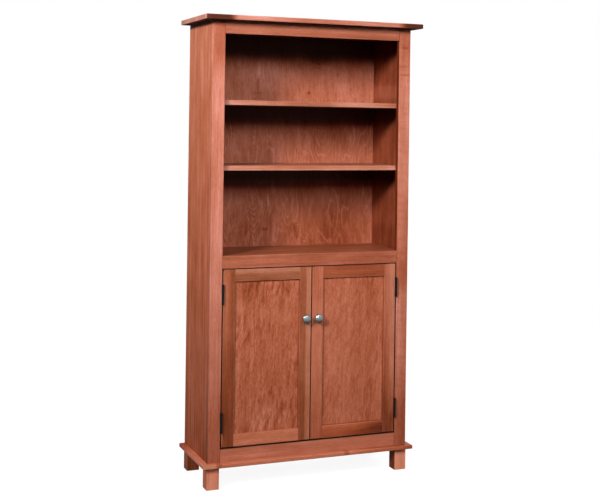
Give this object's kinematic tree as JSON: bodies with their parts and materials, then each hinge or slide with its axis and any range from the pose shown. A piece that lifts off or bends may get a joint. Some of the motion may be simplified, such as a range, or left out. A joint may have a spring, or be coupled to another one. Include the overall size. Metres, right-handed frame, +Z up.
{
  "type": "bookcase with cabinet doors",
  "caption": "Tall wooden bookcase with open shelved bays above a base cabinet that closes with framed panel doors.",
  "frame": {"origin": "on the floor, under the middle of the overall box", "axes": "+Z up; the open bays and the doors face -Y; +X is the right side seen from the front"},
  "size_m": [0.926, 0.352, 1.829],
  "materials": {
    "case_wood": "red-brown stained maple, satin lacquer",
    "frame_wood": "red-brown stained maple, satin lacquer",
    "door_wood": "red-brown stained maple, satin lacquer",
    "door_panel_wood": "figured red-brown stained maple, satin lacquer",
    "shelf_wood": "red-brown stained maple, satin lacquer",
    "back_plywood": "stained plywood, satin lacquer",
    "hinge_black": "black coated steel",
    "knob_nickel": "satin nickel",
    "steel": "zinc-plated steel",
    "catch_plastic": "brown moulded plastic"
  },
  "bodies": {
    "root": {"top_board": "case_wood", "left_side_panel": "case_wood", "right_side_panel": "case_wood", "back_panel": "back_plywood", "fixed_deck": "case_wood", "cabinet_bottom": "case_wood", "left_frame_stile": "frame_wood", "right_frame_stile": "frame_wood", "top_frame_rail": "frame_wood", "middle_frame_rail": "frame_wood", "bottom_frame_rail": "frame_wood", "front_base_board": "frame_wood", "left_base_board": "case_wood", "right_base_board": "case_wood", "back_base_board": "case_wood", "front_left_foot": "frame_wood", "front_right_foot": "frame_wood", "back_left_foot": "frame_wood", "back_right_foot": "frame_wood", "upper_shelf": "shelf_wood", "lower_shelf": "shelf_wood", "cabinet_shelf": "shelf_wood", "upper_shelf_front_left_pin": "steel", "upper_shelf_back_left_pin": "steel", "upper_shelf_front_right_pin": "steel", "upper_shelf_back_right_pin": "steel", "lower_shelf_front_left_pin": "steel", "lower_shelf_back_left_pin": "steel", "lower_shelf_front_right_pin": "steel", "lower_shelf_back_right_pin": "steel", "cabinet_shelf_front_left_pin": "steel", "cabinet_shelf_back_left_pin": "steel", "cabinet_shelf_front_right_pin": "steel", "cabinet_shelf_back_right_pin": "steel", "catch_block": "case_wood", "magnetic_catch": "catch_plastic", "left_door_lower_hinge_frame_leaf": "hinge_black", "left_door_upper_hinge_frame_leaf": "hinge_black", "right_door_lower_hinge_frame_leaf": "hinge_black", "right_door_upper_hinge_frame_leaf": "hinge_black"},
    "left_door": {"left_door_hinge_stile": "door_wood", "left_door_lock_stile": "door_wood", "left_door_top_rail": "door_wood", "left_door_bottom_rail": "door_wood", "left_door_panel": "door_panel_wood", "left_door_knob": "knob_nickel", "left_door_knob_screw": "steel", "left_door_strike": "steel", "left_door_lower_hinge_leaf": "hinge_black", "left_door_upper_hinge_leaf": "hinge_black"},
    "right_door": {"right_door_hinge_stile": "door_wood", "right_door_lock_stile": "door_wood", "right_door_top_rail": "door_wood", "right_door_bottom_rail": "door_wood", "right_door_panel": "door_panel_wood", "right_door_knob": "knob_nickel", "right_door_knob_screw": "steel", "right_door_strike": "steel", "right_door_lower_hinge_leaf": "hinge_black", "right_door_upper_hinge_leaf": "hinge_black"}
  },
  "joints": [
    {"name": "left_door_hinge", "type": "hinge", "parent": "root", "child": "left_door", "pos_m": [-0.37175, -0.14325, 0.5034], "axis": [0, 0, -1], "range_deg": [0, 175]},
    {"name": "right_door_hinge", "type": "hinge", "parent": "root", "child": "right_door", "pos_m": [0.37175, -0.14325, 0.5034], "axis": [0, 0, 1], "range_deg": [0, 175]}
  ]
}
